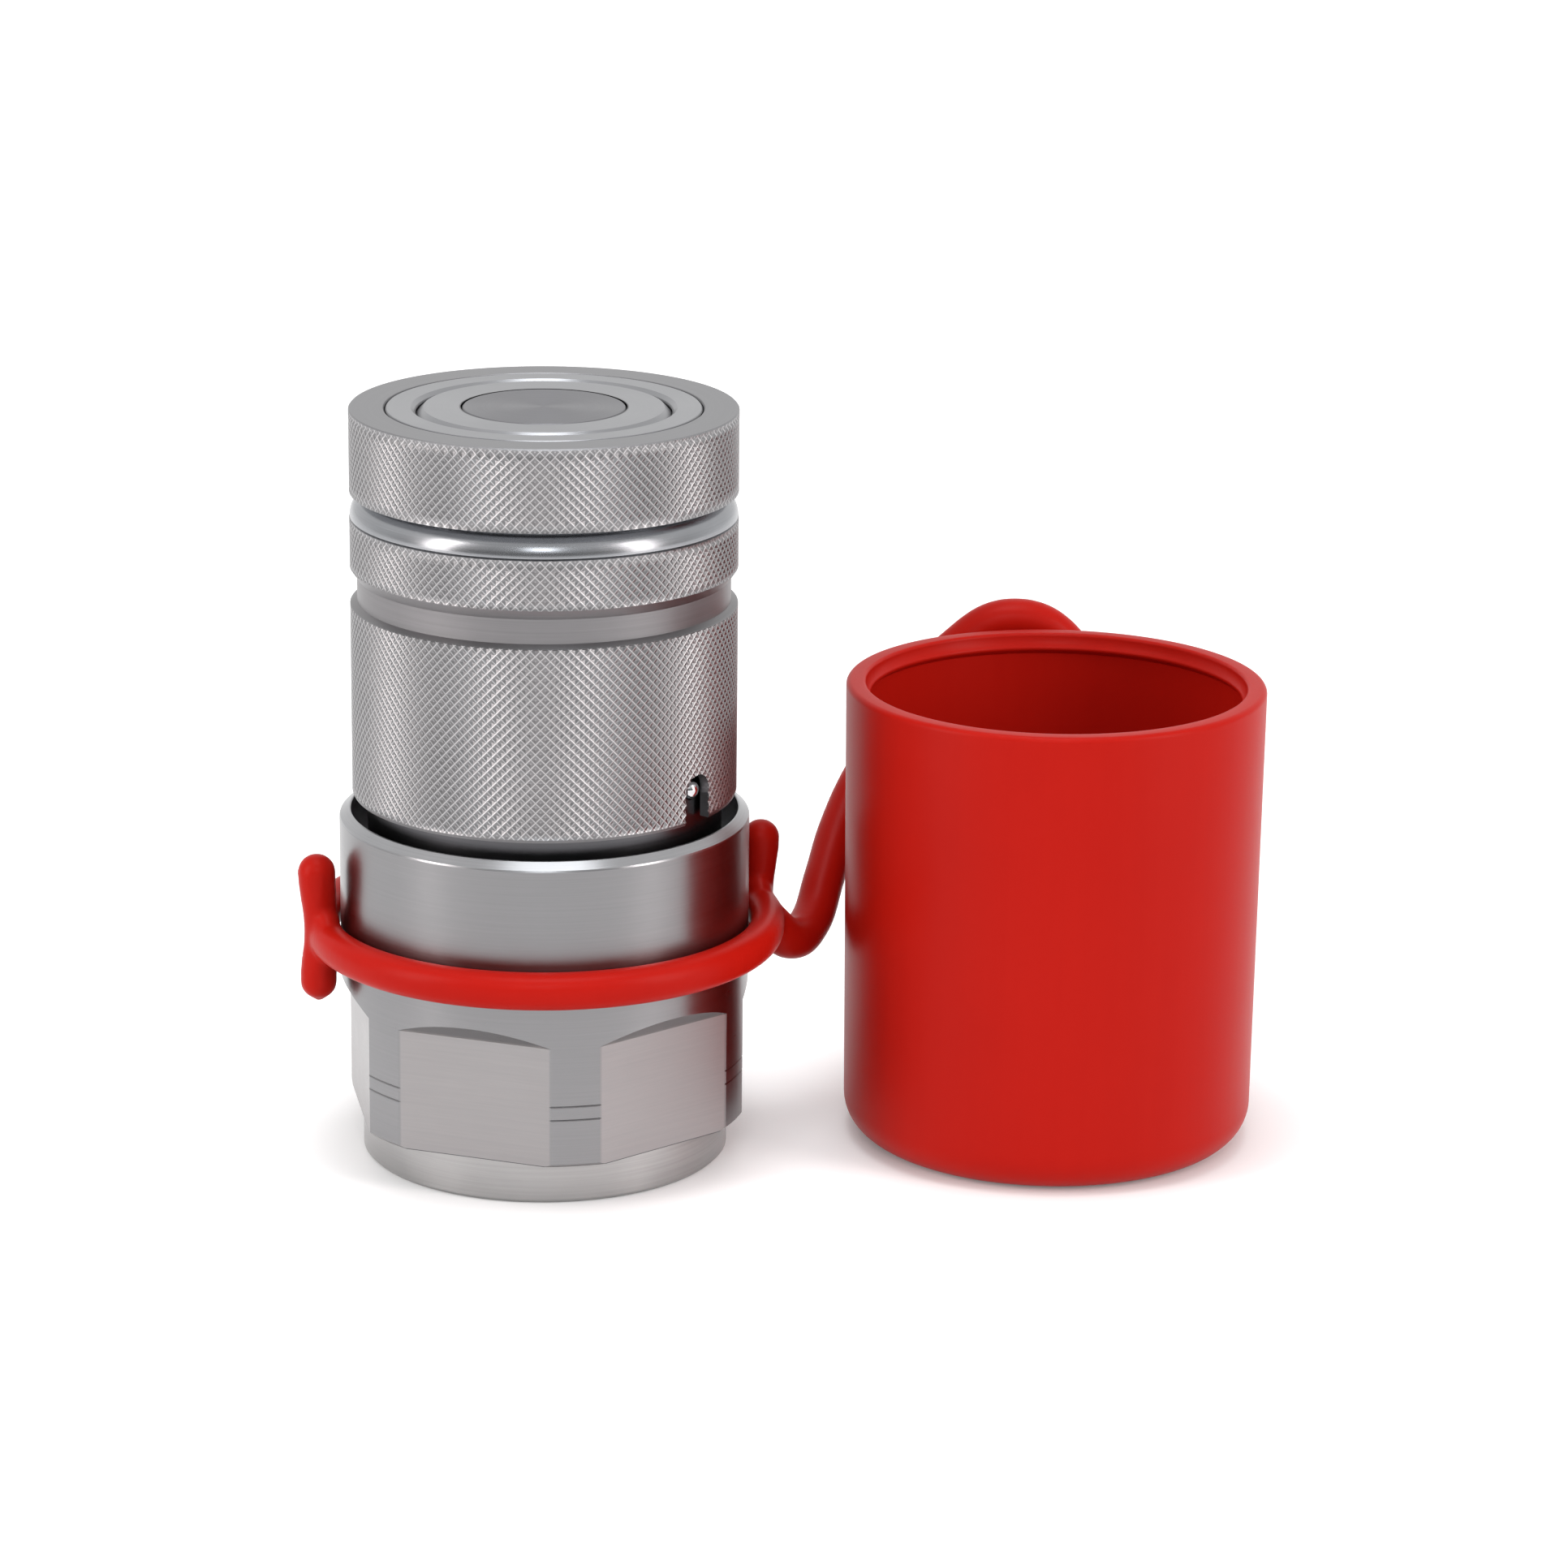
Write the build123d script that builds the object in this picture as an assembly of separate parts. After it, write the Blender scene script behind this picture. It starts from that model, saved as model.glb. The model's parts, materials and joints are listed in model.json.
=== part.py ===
"""Flat face hydraulic coupler, female half, one inch size, with a tethered dust cap.

The coupler stands on its port face. The origin is the centre of that face, +Z runs
along the coupler's axis to the flat coupling face, and the dust cap stands at +X.
The coupler is uncoupled and ready: the valve sleeve is shut, its outside holds the
locking balls out, and the balls hold the locking sleeve back against its spring.
All lengths are in millimetres.
"""
import os
from math import atan, cos, radians, sin, tan

from build123d import *

os.makedirs("parts", exist_ok=True)

# Clearances
slide_gap = 0.1
seal_gap = 0.05
pocket_gap = 0.1
cap_ring_gap = 0.3
cap_gap = 0.1
collar_gap = 0.4
flange_gap = 0.55
spring_side_gap = 0.575
overcut = 1.0

# Adapter, the rear half that carries the port and the spanner flats
spigot_radius = 26.4
spigot_height = 6.4
collar_depth = 6.6
collar_bevel_height = 1.1
collar_bevel_width = 1.5
hex_across_flats = 54.0
hex_top_z = 24.0
hex_angle = -109.0
hex_count = 6
edge_chamfer = 0.5
line_heights = (13.4, 15.4)
line_width = 0.4
line_depth = 0.25
port_radius = 15.2
port_depth = 20.0
port_chamfer = 1.8
passage_radius = 14.5
passage_height = 6.0

# Socket body, the front half that is screwed into the adapter
plug_radius = 18.0
tail_length = 12.5
flange_height = 16.5
flange_seat_width = 2.35
ledge_depth = 0.5
ledge_width = 0.4
mouth_chamfer = 0.7
rim_chamfer = 0.25

# Spider, stem and nut
spider_thickness = 6.0
spider_rim_width = 4.4
spider_hub_radius = 9.5
spider_arm_width = 4.0
spider_arm_count = 3
stem_head_radius = 11.6
stem_head_height = 6.0
stem_neck_height = 8.5
stem_shaft_radius = 6.5
stem_end_radius = 4.9
stem_end_overhang = 0.4
nut_across_flats = 13.0
nut_height = 5.4
nut_face_border = 0.3
nut_dome_edge = 0.1
nut_dome_rise = 0.2

# Valve sleeve and its spring
valve_head_height = 21.4
valve_front_chamfer = 1.0
valve_guide_height = 8.5
valve_wall = 1.6
valve_stroke = 22.0
valve_wire = 2.2
valve_spring_gap = 0.625
valve_spring_turns = 7.0

# Locking balls
ball_diameter = 6.0
ball_count = 12
ball_lock_depth = 1.7
ball_rest_gap = 0.7
ball_travel = 2.25
ball_relief_gap = 0.12

# Locking sleeve, outside
sleeve_rise = 2.4
sleeve_travel = 6.5
front_band_height = 11.8
notch_depth = 1.4
notch_floor = 0.4
shoulder_height = 2.0
middle_band_height = 7.1
groove_depth = 1.0
groove_slope = 1.35
groove_floor = 2.7
skirt_taper = 0.15

# Locking sleeve, inside, and its spring
lip_height = 4.0
lip_ball_gap = 0.4
skirt_wall = 1.6
roof_thickness = 2.0
stop_land_height = 1.9
stop_ring_stand = 1.05
stop_ring_height = 1.35
stop_ring_room = 0.657
stop_ring_depth = 0.9
stop_ring_split = 3.0
washer_thickness = 1.5
sleeve_wire = 2.4
sleeve_spring_turns = 4.5
sleeve_spring_length = 20.0

# Lock ball in the flange and its notch in the sleeve's rear edge
lock_ball_diameter = 3.0
lock_ball_sink = 0.45
lock_ball_drop = 0.1
lock_ball_angle = -33.2
release_notch_angle = -35.7
release_notch_width = 5.4
release_notch_height = 6.9

# Seals and their grooves
nose_section = 2.3
nose_ring_thickness = 1.2
nose_land = 1.6
body_section = 2.1
body_ring_thickness = 1.2
body_land = 2.6
stem_section = 1.95
stem_land = 1.5
seal_room = 0.3
body_seal_room = 0.5

# Dust cap: cup, tether ring and strap in one moulding
cap_x = 73.4
cap_y = 8.0
cap_height = 68.0
cap_wall = 2.2
cap_flare = 0.5
cap_lip_width = 0.8
cap_lip_height = 2.2
cap_floor = 4.0
cap_corner = 5.5
cap_inner_corner = 2.5
cap_rim_round = 0.7
ring_width = 4.9
ring_height = 5.3
ring_round = 2.3
ring_z = 33.5
ear_offset = 3.6
ear_thickness = 5.2
ear_height = 21.6
ear_z = 34.9
ear_angles = (-166.0, 20.7)
strap_radius = 3.1
strap_root_angle = 8.0
strap_root_offset = 3.4
strap_foot_angle = 87.0
strap_foot_z = 9.0
strap_points = (
    (36.0, 7.5, 29.6),
    (38.0, 13.0, 30.0),
    (40.2, 20.0, 34.5),
    (42.6, 27.0, 39.9),
    (46.4, 34.0, 46.5),
    (52.6, 40.4, 54.4),
    (59.6, 44.0, 63.0),
    (68.6, 44.8, 67.8),
    (76.9, 44.8, 63.6),
    (79.4, 44.6, 54.5),
    (79.4, 44.0, 40.0),
    (78.2, 43.2, 22.0),
)

# Radii that follow, from the plug outward
bore_radius = plug_radius + slide_gap / 2
valve_radius = plug_radius - slide_gap / 2
valve_tail_radius = bore_radius - valve_wire - 2 * valve_spring_gap
ledge_radius = valve_tail_radius + ledge_width
body_radius = bore_radius + ball_diameter - ball_lock_depth
sleeve_bore_radius = body_radius + slide_gap
stop_ring_radius = body_radius + stop_ring_stand
pocket_radius = stop_ring_radius + 4 * pocket_gap
skirt_bore_radius = body_radius + sleeve_wire + 2 * spring_side_gap
sleeve_radius = skirt_bore_radius + skirt_wall
flange_radius = skirt_bore_radius - flange_gap
tail_radius = flange_radius - flange_seat_width
collar_bore_radius = sleeve_radius + collar_gap
collar_radius = collar_bore_radius + collar_bevel_width
lock_ball_radius = flange_radius - lock_ball_sink
ball_rest_radius = valve_radius + ball_rest_gap + ball_diameter / 2
relief_radius = ball_rest_radius + ball_diameter / 2 + ball_relief_gap
cap_bore_radius = sleeve_radius + cap_gap
cap_lip_radius = cap_bore_radius - cap_lip_width
cap_base_radius = cap_bore_radius + cap_wall
cap_rim_radius = cap_base_radius + cap_flare
ring_inner_radius = collar_radius + cap_ring_gap

# Heights that follow, from the port upward
spider_seat_z = port_depth + passage_height
spider_top_z = spider_seat_z + spider_thickness
flange_seat_z = spider_top_z + tail_length
ledge_z = flange_seat_z - ledge_depth
collar_top_z = flange_seat_z + collar_depth
flange_top_z = flange_seat_z + flange_height
sleeve_rear_z = collar_top_z + sleeve_rise
spring_roof_z = flange_top_z + sleeve_spring_length + washer_thickness
pocket_floor_z = spring_roof_z + roof_thickness
stop_ring_z = pocket_floor_z + sleeve_travel + seal_gap
pocket_top_z = stop_ring_z + stop_ring_height + stop_ring_room
ramp_low_z = pocket_top_z + stop_land_height
ramp_slope = ball_travel / sleeve_travel
ramp_top_z = ramp_low_z + (relief_radius - sleeve_bore_radius) / ramp_slope
ramp_touch_radius = ball_rest_radius + (ball_diameter + ball_relief_gap) / 2 / cos(
    atan(ramp_slope))
ball_z = ramp_top_z + (ramp_touch_radius - relief_radius) / ramp_slope
relief_top_z = ball_z + ball_diameter / 2 + lip_ball_gap
face_z = relief_top_z + lip_height
stem_end_z = spider_seat_z - nut_height - stem_end_overhang
valve_shoulder_z = face_z - valve_head_height
valve_rear_z = ledge_z + valve_stroke
nose_groove_top = ball_z - ball_diameter / 2 - nose_land
nose_groove_z = nose_groove_top - nose_section - nose_ring_thickness - seal_room
body_groove_z = spider_top_z + body_land
body_groove_top = body_groove_z + body_section + body_ring_thickness + body_seal_room
stem_groove_z = face_z - stem_head_height + stem_land
lock_ball_z = (sleeve_rear_z + release_notch_height - release_notch_width / 2
               - lock_ball_drop)


def turned(outline):
    """Solid of revolution about Z from a closed list of (radius, height) corners."""
    return revolve(Plane.XZ * make_face(Polyline(*outline, close=True)), Axis.Z)


def tube(outer, inner, low, high):
    """Plain ring between two radii and two heights."""
    return turned([(inner, low), (outer, low), (outer, high), (inner, high)])


def round_ring(middle_radius, section, low):
    """Ring of round section that rests on the height low."""
    return Pos(0, 0, low + section / 2) * Torus(middle_radius, section / 2)


def coil(mean_radius, wire, turns, low, high):
    """Round wire compression spring between two heights."""
    rise = high - low - wire
    path = Pos(0, 0, low + wire / 2) * Helix(rise / turns, rise, mean_radius)
    section = Plane(path @ 0, z_dir=path % 0) * Circle(wire / 2)
    return sweep(section, path, is_frenet=True)


def radial_hole(radius, inner, outer, height, angle):
    """Round hole cutter that runs outward from the axis at one angle."""
    hole = Cylinder(radius, outer - inner, align=(Align.CENTER, Align.CENTER, Align.MIN))
    return Rot(0, 0, angle) * Pos(inner, 0, height) * Rot(0, 90, 0) * hole


def ball_angles():
    """Angles of the locking balls round the axis."""
    return [360 / ball_count * index for index in range(ball_count)]


def make_adapter():
    """Port body: spigot, collar with six spanner flats, and the bores for the socket."""
    outline = [
        (port_radius + port_chamfer, 0),
        (spigot_radius - edge_chamfer, 0),
        (spigot_radius, edge_chamfer),
        (spigot_radius, spigot_height),
        (collar_radius - edge_chamfer, spigot_height),
        (collar_radius, spigot_height + edge_chamfer),
    ]
    for height in line_heights:
        outline += [
            (collar_radius, height - line_width / 2),
            (collar_radius - line_depth, height),
            (collar_radius, height + line_width / 2),
        ]
    outline += [
        (collar_radius, collar_top_z - collar_bevel_height),
        (collar_bore_radius, collar_top_z),
        (collar_bore_radius, flange_seat_z),
        (tail_radius + seal_gap, flange_seat_z),
        (tail_radius + seal_gap, spider_seat_z),
        (passage_radius, spider_seat_z),
        (passage_radius, port_depth + port_radius - passage_radius),
        (port_radius, port_depth),
        (port_radius, port_chamfer),
    ]
    body = turned(outline)
    flat = hex_across_flats / 2
    reach = collar_radius - flat + overcut
    side = Plane.XZ * make_face(Polyline(
        (flat, 0), (flat, hex_top_z), (flat + reach, hex_top_z + reach), (flat + reach, 0),
        close=True))
    cutter = extrude(side, collar_radius, both=True)
    for index in range(hex_count):
        body -= Rot(0, 0, hex_angle + 360 / hex_count * index) * cutter
    return body


def make_socket_body():
    """Front body with the plug bore, the ball holes, the flange and the seal grooves."""
    stop_groove_low = stop_ring_z - seal_gap
    stop_groove_top = stop_ring_z + stop_ring_height + seal_gap
    outline = [
        (ledge_radius, spider_top_z),
        (tail_radius - edge_chamfer, spider_top_z),
        (tail_radius, spider_top_z + edge_chamfer),
        (tail_radius, body_groove_z),
        (tail_radius - body_section, body_groove_z),
        (tail_radius - body_section, body_groove_top),
        (tail_radius, body_groove_top),
        (tail_radius, flange_seat_z),
        (flange_radius, flange_seat_z),
        (flange_radius, flange_top_z),
        (body_radius, flange_top_z),
        (body_radius, stop_groove_low),
        (body_radius - stop_ring_depth, stop_groove_low),
        (body_radius - stop_ring_depth, stop_groove_top),
        (body_radius, stop_groove_top),
        (body_radius, face_z - rim_chamfer),
        (body_radius - rim_chamfer, face_z),
        (bore_radius + mouth_chamfer, face_z),
        (bore_radius, face_z - mouth_chamfer),
        (bore_radius, nose_groove_top),
        (bore_radius + nose_section, nose_groove_top),
        (bore_radius + nose_section, nose_groove_z),
        (bore_radius, nose_groove_z),
        (bore_radius, ledge_z),
        (ledge_radius, ledge_z),
    ]
    body = turned(outline)
    for angle in ball_angles():
        body -= radial_hole(ball_diameter / 2 + seal_gap, bore_radius - overcut, body_radius + overcut,
                            ball_z, angle)
    pocket_floor = lock_ball_radius - lock_ball_diameter / 2 - seal_gap
    body -= radial_hole(lock_ball_diameter / 2 + seal_gap, pocket_floor, flange_radius + overcut,
                        lock_ball_z, lock_ball_angle)
    return body


def make_spider():
    """Flow disc that carries the stem on thin arms between the two bodies."""
    rim = tube(tail_radius, tail_radius - spider_rim_width, spider_seat_z, spider_top_z)
    hub = tube(spider_hub_radius, stem_end_radius + seal_gap, spider_seat_z, spider_top_z)
    length = tail_radius - spider_hub_radius + overcut
    middle = tail_radius - length / 2
    arm = Pos(middle, 0, spider_seat_z + spider_thickness / 2) * Box(
        length, spider_arm_width, spider_thickness)
    spider = rim + hub
    for index in range(spider_arm_count):
        spider += Rot(0, 0, 360 / spider_arm_count * index) * arm
    disc = tube(tail_radius, stem_end_radius + seal_gap, spider_seat_z, spider_top_z)
    return spider & disc


def make_stem():
    """Fixed centre stem whose head closes the middle of the coupling face."""
    head_z = face_z - stem_head_height
    groove_top = stem_groove_z + stem_section + seal_room
    groove_radius = stem_head_radius - stem_section + seal_gap
    return turned([
        (0, stem_end_z),
        (stem_end_radius - edge_chamfer, stem_end_z),
        (stem_end_radius, stem_end_z + edge_chamfer),
        (stem_end_radius, spider_top_z),
        (stem_shaft_radius, spider_top_z),
        (stem_shaft_radius, head_z - stem_neck_height),
        (stem_head_radius, head_z),
        (stem_head_radius, stem_groove_z),
        (groove_radius, stem_groove_z),
        (groove_radius, groove_top),
        (stem_head_radius, groove_top),
        (stem_head_radius, face_z - rim_chamfer),
        (stem_head_radius - rim_chamfer, face_z),
        (0, face_z),
    ])


def make_stem_nut():
    """Hexagon nut that pulls the stem down on the spider."""
    flats = RegularPolygon(nut_across_flats / 2, 6, major_radius=False)
    nut = Pos(0, 0, spider_seat_z - nut_height) * extrude(flats, nut_height)
    corner = nut_across_flats / 2 / cos(radians(30))
    slope = (corner - nut_across_flats / 2) * tan(radians(30)) + nut_dome_rise
    low = spider_seat_z - nut_height
    dome = turned([
        (stem_end_radius + seal_gap, low),
        (nut_across_flats / 2 - nut_face_border, low),
        (corner + nut_dome_edge, low + slope),
        (corner + nut_dome_edge, spider_seat_z),
        (stem_end_radius + seal_gap, spider_seat_z),
    ])
    return nut & dome


def make_valve_sleeve():
    """Sliding valve: its head is the middle ring of the face, its tail guides the spring."""
    guide_radius = stem_head_radius + 1.5 * slide_gap
    tail_bore = valve_tail_radius - valve_wall
    guide_z = face_z - valve_guide_height
    return turned([
        (guide_radius, face_z),
        (guide_radius, guide_z),
        (tail_bore, guide_z - (tail_bore - guide_radius)),
        (tail_bore, valve_rear_z),
        (valve_tail_radius - edge_chamfer, valve_rear_z),
        (valve_tail_radius, valve_rear_z + edge_chamfer),
        (valve_tail_radius, valve_shoulder_z),
        (valve_radius - edge_chamfer, valve_shoulder_z),
        (valve_radius, valve_shoulder_z + edge_chamfer),
        (valve_radius, face_z - valve_front_chamfer),
        (valve_radius - valve_front_chamfer, face_z),
    ])


def make_locking_sleeve():
    """Knurled outer sleeve with its grooves, ball ramp, spring room and rear notch."""
    notch_top = face_z - front_band_height
    notch_radius = sleeve_radius - notch_depth
    neck_z = notch_top - notch_depth
    shoulder_top = neck_z - notch_floor
    shoulder_low = shoulder_top - shoulder_height
    groove_top = shoulder_low - middle_band_height
    groove_radius = sleeve_radius - groove_depth
    skirt_top = groove_top - 2 * groove_slope - groove_floor
    rear_radius = sleeve_radius - skirt_taper
    upper = Polyline(
        (notch_radius, shoulder_top),
        (notch_radius, neck_z),
        (sleeve_radius, notch_top),
        (sleeve_radius, face_z - edge_chamfer),
        (sleeve_radius - edge_chamfer, face_z),
        (sleeve_bore_radius + rim_chamfer, face_z),
        (sleeve_bore_radius, face_z - rim_chamfer),
        (sleeve_bore_radius, relief_top_z),
        (relief_radius, relief_top_z),
        (relief_radius, ramp_top_z),
        (sleeve_bore_radius, ramp_low_z),
        (sleeve_bore_radius, pocket_top_z),
        (pocket_radius, pocket_top_z),
        (pocket_radius, pocket_floor_z),
        (sleeve_bore_radius, pocket_floor_z),
        (sleeve_bore_radius, spring_roof_z),
        (skirt_bore_radius, spring_roof_z),
        (skirt_bore_radius, sleeve_rear_z),
        (rear_radius - edge_chamfer, sleeve_rear_z),
        (rear_radius, sleeve_rear_z + edge_chamfer),
        (sleeve_radius, skirt_top),
        (groove_radius, skirt_top + groove_slope),
        (groove_radius, groove_top - groove_slope),
        (sleeve_radius, groove_top),
        (sleeve_radius, shoulder_low),
    )
    shoulder = TangentArc(
        (sleeve_radius, shoulder_low), (notch_radius, shoulder_top), tangent=(0, 1))
    sleeve = revolve(Plane.XZ * make_face([upper, shoulder]), Axis.Z)
    half = release_notch_width / 2
    slot = Pos(0, 0, sleeve_rear_z + release_notch_height - half)
    round_top = slot * radial_hole(
        half, skirt_bore_radius - overcut, sleeve_radius + overcut, 0, 0)
    depth = release_notch_height - half + overcut
    straight = Pos(sleeve_radius - skirt_wall / 2, 0, sleeve_rear_z - overcut + depth / 2) * Box(
        skirt_wall + 2 * overcut, release_notch_width, depth)
    return sleeve - Rot(0, 0, release_notch_angle) * (round_top + straight)


def make_stop_ring():
    """Split wire ring on the socket body that ends the sleeve's forward travel."""
    ring = tube(stop_ring_radius, body_radius - stop_ring_depth + seal_gap,
                stop_ring_z, stop_ring_z + stop_ring_height)
    split = Pos(-body_radius, 0, stop_ring_z) * Box(
        body_radius, stop_ring_split, 4 * stop_ring_height)
    return ring - split


def make_spring_washer():
    """Flat washer between the sleeve spring and the sleeve."""
    return tube(skirt_bore_radius - 2 * pocket_gap, body_radius + 3 * pocket_gap,
                spring_roof_z - washer_thickness, spring_roof_z)


def make_cup():
    """Closed outside of the dust cap's cup, standing on its own axis."""
    corner = cap_corner * sin(radians(45))
    wall = [
        Line((0, 0), (cap_base_radius - cap_corner, 0)),
        ThreePointArc(
            (cap_base_radius - cap_corner, 0),
            (cap_base_radius - cap_corner + corner, cap_corner - corner),
            (cap_base_radius, cap_corner)),
        Polyline(
            (cap_base_radius, cap_corner),
            (cap_rim_radius, cap_height - cap_rim_round),
            (cap_rim_radius - cap_rim_round, cap_height),
            (0, cap_height),
            (0, 0)),
    ]
    return revolve(Plane.XZ * make_face(wall), Axis.Z)


def make_cup_cavity():
    """Inside of the cup with the narrow holding lip at its mouth."""
    lip_z = cap_height - cap_lip_height
    return turned([
        (0, cap_floor),
        (cap_bore_radius - cap_inner_corner, cap_floor),
        (cap_bore_radius, cap_floor + cap_inner_corner),
        (cap_bore_radius, lip_z - (cap_bore_radius - cap_lip_radius)),
        (cap_lip_radius, lip_z),
        (cap_lip_radius, cap_height - cap_rim_round / 2),
        (cap_lip_radius + cap_rim_round, cap_height + cap_rim_round / 2),
        (0, cap_height + cap_rim_round / 2),
    ])


def make_tether_ring():
    """Snug ring round the collar with two upright pull ears."""
    section = Pos(ring_inner_radius + ring_width / 2, ring_z) * RectangleRounded(
        ring_width, ring_height, ring_round)
    ring = revolve(Plane.XZ * section, Axis.Z)
    half = ear_thickness / 2
    straight = ear_height - ear_thickness
    ear = Cylinder(half, straight) + Pos(0, 0, straight / 2) * Sphere(half)
    ear += Pos(0, 0, -straight / 2) * Sphere(half)
    for angle in ear_angles:
        ring += Rot(0, 0, angle) * Pos(ring_inner_radius + ear_offset, 0, ear_z) * ear
    return ring


def make_strap():
    """Strap from the tether ring, behind the cup and over, to the cup's closed end."""
    root_angle = radians(strap_root_angle)
    root_radius = ring_inner_radius + strap_root_offset
    root = (root_radius * cos(root_angle), root_radius * sin(root_angle), ring_z)
    foot_angle = radians(strap_foot_angle)
    foot_radius = (cap_base_radius + cap_bore_radius) / 2
    foot = (cap_x + foot_radius * cos(foot_angle), cap_y + foot_radius * sin(foot_angle),
            strap_foot_z)
    path = Spline(root, *strap_points, foot)
    section = Plane(path @ 0, z_dir=path % 0) * Circle(strap_radius)
    strap = sweep(section, path)
    return strap + Pos(*root) * Sphere(strap_radius) + Pos(*foot) * Sphere(strap_radius)


def make_dust_cap():
    """One soft moulding: cup, strap, tether ring and ears."""
    place = Pos(cap_x, cap_y, 0)
    cap = place * make_cup() + make_strap() + make_tether_ring()
    cap -= place * make_cup_cavity()
    return cap - Pos(0, 0, ring_z) * Cylinder(
        ring_inner_radius, ear_height + 4 * ear_thickness)


def make_nodes():
    """Every node of the part by name."""
    nodes = {
        "adapter": make_adapter(),
        "socket_body": make_socket_body(),
        "spider": make_spider(),
        "stem": make_stem(),
        "stem_nut": make_stem_nut(),
        "valve_sleeve": make_valve_sleeve(),
        "locking_sleeve": make_locking_sleeve(),
        "sleeve_stop_ring": make_stop_ring(),
        "spring_washer": make_spring_washer(),
        "dust_cap": make_dust_cap(),
        "valve_spring": coil(
            (bore_radius + valve_tail_radius) / 2 - seal_gap, valve_wire,
            valve_spring_turns, ledge_z, valve_shoulder_z),
        "sleeve_spring": coil(
            (skirt_bore_radius + body_radius) / 2, sleeve_wire,
            sleeve_spring_turns, flange_top_z, spring_roof_z - washer_thickness),
        "nose_backup_ring": tube(
            bore_radius + nose_section - seal_gap, bore_radius,
            nose_groove_z, nose_groove_z + nose_ring_thickness),
        "nose_seal": round_ring(
            bore_radius + nose_section / 2 - seal_gap, nose_section - seal_gap,
            nose_groove_z + nose_ring_thickness + seal_gap),
        "body_seal": round_ring(
            tail_radius - body_section / 2 + seal_gap / 2, body_section - seal_gap,
            body_groove_z),
        "body_backup_ring": tube(
            tail_radius, tail_radius - body_section + seal_gap,
            body_groove_z + body_section, body_groove_z + body_section + body_ring_thickness),
        "stem_seal": round_ring(
            stem_head_radius - stem_section / 2 + seal_gap, stem_section - seal_gap,
            stem_groove_z),
        "lock_ball": Rot(0, 0, lock_ball_angle) * Pos(lock_ball_radius, 0, lock_ball_z)
        * Sphere(lock_ball_diameter / 2),
    }
    for index, angle in enumerate(ball_angles(), start=1):
        place = Rot(0, 0, angle) * Pos(ball_rest_radius, 0, ball_z)
        nodes[f"locking_ball_{index:02d}"] = place * Sphere(ball_diameter / 2)
    return nodes


for name, shape in make_nodes().items():
    export_step(shape, f"parts/{name}.step")
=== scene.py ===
"""Looks of a flat face hydraulic coupler that stands beside its tethered dust cap."""

import json
import logging
import math
from dataclasses import dataclass
from enum import Enum
from typing import Callable, Iterable, NamedTuple, Optional, Sequence, Union

import bmesh
import bpy
from mathutils import Matrix, Vector


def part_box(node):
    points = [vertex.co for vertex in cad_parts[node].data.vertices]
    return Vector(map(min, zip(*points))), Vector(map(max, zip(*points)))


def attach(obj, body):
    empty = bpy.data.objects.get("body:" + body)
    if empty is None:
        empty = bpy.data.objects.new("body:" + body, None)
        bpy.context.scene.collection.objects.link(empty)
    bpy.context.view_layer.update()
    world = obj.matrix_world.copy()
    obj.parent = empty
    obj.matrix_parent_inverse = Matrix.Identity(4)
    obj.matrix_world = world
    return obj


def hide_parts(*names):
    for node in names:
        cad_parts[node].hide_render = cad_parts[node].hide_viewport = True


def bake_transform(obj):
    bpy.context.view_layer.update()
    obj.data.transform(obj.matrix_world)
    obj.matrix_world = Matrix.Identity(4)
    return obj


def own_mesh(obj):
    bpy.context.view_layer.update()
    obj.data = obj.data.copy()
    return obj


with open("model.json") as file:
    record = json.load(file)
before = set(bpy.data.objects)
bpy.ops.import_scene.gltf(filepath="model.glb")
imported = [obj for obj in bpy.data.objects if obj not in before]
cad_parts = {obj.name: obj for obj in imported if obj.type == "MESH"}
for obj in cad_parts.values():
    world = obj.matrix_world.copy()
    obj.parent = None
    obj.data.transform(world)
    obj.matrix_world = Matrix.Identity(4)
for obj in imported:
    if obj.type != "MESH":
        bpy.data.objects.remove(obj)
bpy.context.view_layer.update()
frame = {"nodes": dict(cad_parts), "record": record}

log = logging.getLogger("coupler")

MM = 0.001  # metres
TOUCH = 5e-6  # metres between two corners that count as one
Pair = tuple[float, float]
Point = Pair
Place = tuple[float, float, float]
Tone = tuple[float, float, float]


class Slot(Enum):
    """Material slots of the record."""

    PLATED = "plated_steel"
    KNURLED = "knurled_steel"
    TURNED = "turned_steel"
    STEM = "stem_steel"
    SPRING = "spring_steel"
    BALL = "ball_steel"
    SEAL = "seal_rubber"
    BACKUP = "backup_plastic"
    CAP = "cap_plastic"


class Body(Enum):
    """Moving bodies of the frame that pieces ride on."""

    COUPLER = "coupler_body"
    SLEEVE = "sleeve"
    CAP = "cap"


class Signal:
    """One socket of a shader tree; arithmetic on it adds Math nodes."""

    def __init__(self, shader: "Shader", socket: bpy.types.NodeSocket) -> None:
        """Keep the shader that owns the socket."""
        self.shader = shader
        self.socket = socket

    def __add__(self, other: "Value") -> "Signal":
        """Sum of two values."""
        return self.shader.math("ADD", self, other)

    __radd__ = __add__

    def __sub__(self, other: "Value") -> "Signal":
        """Difference of two values."""
        return self.shader.math("SUBTRACT", self, other)

    def __rsub__(self, other: "Value") -> "Signal":
        """Difference with a plain number first."""
        return self.shader.math("SUBTRACT", other, self)

    def __mul__(self, other: "Value") -> "Signal":
        """Product of two values."""
        return self.shader.math("MULTIPLY", self, other)

    __rmul__ = __mul__


Value = Union[Signal, float]
Color = Union[bpy.types.NodeSocket, Sequence[float]]


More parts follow.
